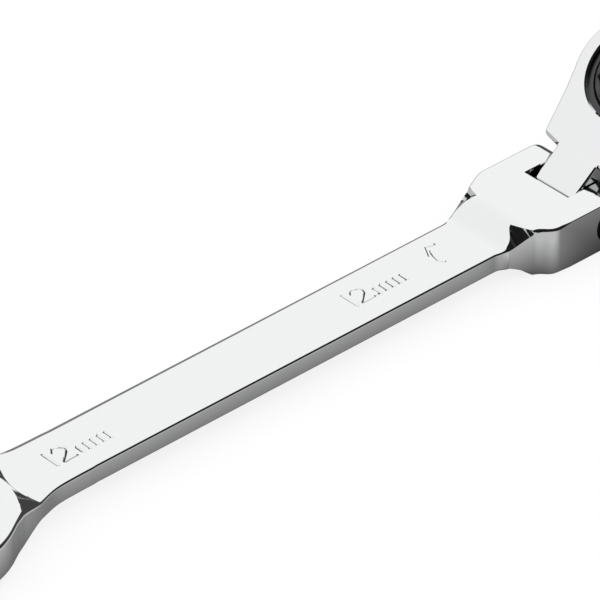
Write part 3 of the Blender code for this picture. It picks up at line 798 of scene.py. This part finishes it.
class Graph:
    """A small helper to add and link a material's nodes."""

    def __init__(self, name):
        self.material = bpy.data.materials.new(name)
        self.material.use_nodes = True
        self.tree = self.material.node_tree
        self.shader = self.tree.nodes["Principled BSDF"]
        self.output = self.tree.nodes["Material Output"]

    def add(self, kind, settings=None, **inputs):
        node = self.tree.nodes.new(kind)
        for key, value in (settings or {}).items():
            setattr(node, key, value)
        for key, value in inputs.items():
            self.plug(node, key.replace("_", " "), value)
        return node

    def plug(self, node, socket, value):
        if isinstance(value, bpy.types.NodeSocket):
            self.tree.links.new(value, node.inputs[socket])
        else:
            node.inputs[socket].default_value = value

    def scaled(self, source, scale):
        return self.add("ShaderNodeMapping", Vector=source, Scale=scale).outputs["Vector"]

    def noise(self, vector, scale, detail=3.0):
        return self.add("ShaderNodeTexNoise", Vector=vector, Scale=scale, Detail=detail).outputs["Fac"]

    def fit(self, value, low, high, to_low, to_high, kind="LINEAR"):
        node = self.add("ShaderNodeMapRange", {"interpolation_type": kind}, Value=value, From_Min=low,
                        From_Max=high, To_Min=to_low, To_Max=to_high)
        return node.outputs["Result"]

    def maths(self, operation, first, second):
        node = self.add("ShaderNodeMath", {"operation": operation})
        self.plug(node, 0, first)
        self.plug(node, 1, second)
        return node.outputs[0]


def metal(name, colour, worn, roughness, bump, grain=None):
    """Metal with fine scratches, patchy roughness and edges worn to another colour.

    The grain says how closely the scratches lie along X, Y and Z; without it they are turned about Z.
    """
    g = Graph(name)
    place = g.add("ShaderNodeTexCoord").outputs["Object"]
    if grain:
        fine = g.noise(g.scaled(place, grain), 1.0, 4.0)
    else:
        flat = g.scaled(place, (1.0, 1.0, 0.0))
        length = g.add("ShaderNodeVectorMath", {"operation": "LENGTH"}, Vector=flat).outputs["Value"]
        rings = {"noise_dimensions": "1D"}
        radius = g.maths("MULTIPLY", length, TURNING_SCALE)
        fine = g.add("ShaderNodeTexNoise", rings, W=radius, Scale=1.0, Detail=2.0).outputs["Fac"]
    patches = g.noise(place, PATCH_SCALE, 3.0)
    low, high = roughness
    scratches = g.fit(fine, 0.35, 0.75, 0.0, 1.0)
    unevenness = g.fit(patches, 0.3, 0.7, -PATCH_STRENGTH * low, PATCH_STRENGTH * low)
    g.plug(g.shader, "Roughness", g.maths("ADD", g.fit(scratches, 0.0, 1.0, low, high), unevenness))
    point = g.add("ShaderNodeNewGeometry").outputs["Pointiness"]
    wear = g.maths("MULTIPLY", g.fit(point, *WORN_POINTINESS, 0.0, 1.0), g.fit(patches, 0.35, 0.6, 0.2, 0.8))
    blend = g.add("ShaderNodeMix", {"data_type": "RGBA"})
    g.plug(blend, 0, wear)
    g.plug(blend, 6, (*colour, 1.0))
    g.plug(blend, 7, (*worn, 1.0))
    g.plug(g.shader, "Base Color", blend.outputs[2])
    bumps = g.add("ShaderNodeBump", Height=fine, Strength=bump, Distance=SCRATCH_DEPTH)
    g.plug(g.shader, "Normal", bumps.outputs["Normal"])
    g.plug(g.shader, "Metallic", 1.0)
    return g.material


def dress(piece, material):
    """Give a piece one material, in a single slot."""
    piece.data.materials.clear()
    piece.data.materials.append(material)


# ---------------------------------------------------------------- studio

def sky_material():
    """What polished metal sees: a broad soft light on the left, two faint ones low down, a dark room."""
    g = Graph("studio_sky")
    place = g.add("ShaderNodeTexCoord").outputs["Object"]
    towards = g.add("ShaderNodeVectorMath", {"operation": "NORMALIZE"}, Vector=place).outputs["Vector"]

    def lamp(direction, edge, low, high):
        facing = g.add("ShaderNodeVectorMath", {"operation": "DOT_PRODUCT"})
        g.plug(facing, 0, towards)
        g.plug(facing, 1, direction.normalized())
        return g.fit(facing.outputs["Value"], *edge, low, high, "SMOOTHSTEP")

    softbox = lamp(SOFTBOX_DIRECTION, SOFTBOX_EDGE, WALL_LIGHT, SOFTBOX_LIGHT)
    beside = lamp(SIDE_DIRECTION, SIDE_EDGE, 0.0, SIDE_LIGHT)
    low = lamp(LOW_DIRECTION, LOW_EDGE, 0.0, LOW_LIGHT)
    light = g.maths("ADD", softbox, g.maths("ADD", beside, low))
    glow = g.add("ShaderNodeEmission", Color=(1.0, 1.0, 1.0, 1.0), Strength=light)
    g.tree.links.new(glow.outputs["Emission"], g.output.inputs["Surface"])
    return g.material


def floor_glow_with_painted_shadow(g):
    """How bright the floor looks in the metal: a painted shadow, dim beside the wrench and dimmer towards
    the fork's end, brighter away from it.
    """
    place = g.add("ShaderNodeTexCoord").outputs["Object"]
    parts = g.add("ShaderNodeSeparateXYZ", Vector=place)
    x, y = parts.outputs["X"], g.maths("ABSOLUTE", parts.outputs["Y"], 0.0)
    fork = g.fit(x, SLOW_FLARE[0], 0.0, 0.0, (FORK_WIDTH - SHANK_WIDTH) / 2, "SMOOTHSTEP")
    opening = g.fit(x, OPEN_END_X, NECK_BEND_X, OPEN_END_RADIUS - SHANK_WIDTH / 2, 0.0, "SMOOTHSTEP")
    aside = g.maths("SUBTRACT", g.maths("SUBTRACT", y, SHANK_WIDTH / 2), g.maths("ADD", fork, opening))
    # painted shadow of the wrench on the reflected floor: dim right beside it, brighter further away
    light = g.fit(aside, 0.0, FLOOR_FADE, FLOOR_NEAR_LIGHT, FLOOR_FAR_LIGHT)
    # painted shade: the reflected floor is darker still towards the fork's end
    shade = g.fit(x, RAMP_END_X, PIN_X, 1.0, FLOOR_RIGHT_SHADE, "SMOOTHSTEP")
    return g.maths("MULTIPLY", light, shade)


def one_sided(name, colour, glow):
    """A matt surface that glows and can be seen through from below."""
    g = Graph(name)
    matt = g.add("ShaderNodeBsdfDiffuse", Color=(colour, colour, colour, 1.0))
    shine = g.add("ShaderNodeEmission", Color=(1.0, 1.0, 1.0, 1.0))
    g.plug(shine, "Strength", glow(g) if callable(glow) else glow)
    both = g.add("ShaderNodeAddShader")
    g.plug(both, 0, matt.outputs["BSDF"])
    g.plug(both, 1, shine.outputs["Emission"])
    clear = g.add("ShaderNodeBsdfTransparent")
    choose = g.add("ShaderNodeMixShader")
    g.plug(choose, 0, g.add("ShaderNodeNewGeometry").outputs["Backfacing"])
    g.plug(choose, 1, both.outputs["Shader"])
    g.plug(choose, 2, clear.outputs["BSDF"])
    g.tree.links.new(choose.outputs["Shader"], g.output.inputs["Surface"])
    return g.material


def sheet_at(name, height, size):
    """A level square sheet that belongs to the studio."""
    corners = [(-size, -size, height), (size, -size, height), (size, size, height), (-size, size, height)]
    data = bpy.data.meshes.new(name)
    data.from_pydata(corners, [], [(0, 1, 2, 3)])
    made = bpy.data.objects.new(name, data)
    bpy.context.scene.collection.objects.link(made)
    return made


def make_studio():
    scene = bpy.context.scene
    scene.view_settings.view_transform = "Standard"
    world = bpy.data.worlds.new("studio")
    scene.world = world
    world.use_nodes = True
    world.node_tree.nodes["Background"].inputs["Color"].default_value = (1.0, 1.0, 1.0, 1.0)
    world.node_tree.nodes["Background"].inputs["Strength"].default_value = 1.0
    world.cycles_visibility.glossy = False
    floor = sheet_at("floor", -2 * FLOOR_GAP, FLOOR_SIZE)
    floor.data.materials.append(one_sided("pale_floor", FLOOR_COLOUR, FLOOR_GLOW))
    floor.visible_glossy = False
    card = sheet_at("floor_reflection", -FLOOR_GAP, FLOOR_SIZE)
    # this reflection-only card glows with a painted shadow of the wrench around it
    card.data.materials.append(one_sided("painted_shadow_floor", 0.0, floor_glow_with_painted_shadow))
    bpy.ops.mesh.primitive_uv_sphere_add(segments=48, ring_count=24, radius=SKY_RADIUS)
    sky = bpy.context.object
    sky.name = "studio_sky"
    sky.data.materials.append(sky_material())
    for reflected_only in (card, sky):
        reflected_only.visible_camera = False
        reflected_only.visible_diffuse = False
        reflected_only.visible_shadow = False
        reflected_only.visible_transmission = False
    camera = bpy.data.objects.new("camera", bpy.data.cameras.new("camera"))
    scene.collection.objects.link(camera)
    camera.data.lens = CAMERA_LENS
    camera.data.sensor_width = 36.0
    camera.data.clip_end = 50.0
    level = math.cos(CAMERA_ELEVATION)
    back = Vector((math.sin(CAMERA_AZIMUTH) * level, -math.cos(CAMERA_AZIMUTH) * level,
                   math.sin(CAMERA_ELEVATION)))
    camera.location = CAMERA_TARGET + back * CAMERA_DISTANCE
    camera.rotation_euler = (-back).to_track_quat("-Z", "Y").to_euler()
    scene.camera = camera


def main():
    along = (ring_point - pin_point).normalized()
    across = Vector((0.0, 1.0, 0.0))
    up = along.cross(across)
    head_frame = Matrix((along, across, up)).transposed().to_4x4()
    ring_frame = head_frame.copy()
    head_frame.translation = pin_point
    ring_frame.translation = ring_point

    chrome_look = ((0.87, 0.875, 0.88), (0.9, 0.9, 0.9), (0.035, 0.07), 0.02, (300.0, 9000.0, 9000.0))
    chrome = metal("polished_chrome", *chrome_look)
    head_chrome = metal("polished_chrome_head", *chrome_look)
    gear_steel = metal("dark_phosphate_steel", (0.05, 0.05, 0.053), (0.16, 0.16, 0.16), (0.3, 0.42), 0.5)
    ring_steel = metal("oiled_spring_steel", (0.07, 0.07, 0.075), (0.2, 0.2, 0.2), (0.3, 0.4), 0.4)
    screw_steel = metal("black_oxide_steel", (0.03, 0.03, 0.032), (0.12, 0.12, 0.12), (0.3, 0.45), 0.4,
                        (5000.0, 900.0, 5000.0))
    wire_steel = metal("drawn_wire_steel", (0.45, 0.45, 0.46), (0.6, 0.6, 0.6), (0.2, 0.35), 0.3,
                       (6000.0, 6000.0, 6000.0))
    pawl_steel = metal("ground_steel", (0.2, 0.2, 0.21), (0.4, 0.4, 0.4), (0.25, 0.38), 0.4,
                       (600.0, 8000.0, 8000.0))
    ball_steel = metal("polished_ball_steel", (0.7, 0.7, 0.71), (0.8, 0.8, 0.8), (0.1, 0.16), 0.1,
                       (5000.0, 5000.0, 5000.0))

    pieces = [(make_body(), "handle", "wrench_body", chrome, "chrome_plate"),
              (make_screw(), "handle", "pivot_screw", screw_steel, "screw_steel"),
              (make_housing(head_frame), "head", "ratchet_housing", head_chrome, "chrome_plate"),
              (make_snap_ring(ring_frame), "head", "snap_ring", ring_steel, "ring_steel"),
              (make_gear(ring_frame), "gear", "drive_gear", gear_steel, "gear_steel")]
    for piece, body, node, material, slot in pieces:
        dress(piece, material)
        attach(piece, body)
        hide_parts(node)
    kept = {"detent_ball": (ball_steel, "ball_steel"), "detent_spring": (wire_steel, "spring_steel"),
            "pawl": (pawl_steel, "pawl_steel"), "pawl_spring": (wire_steel, "spring_steel")}
    for node, (material, slot) in kept.items():
        dress(frame["nodes"][node], material)
    make_studio()


main()
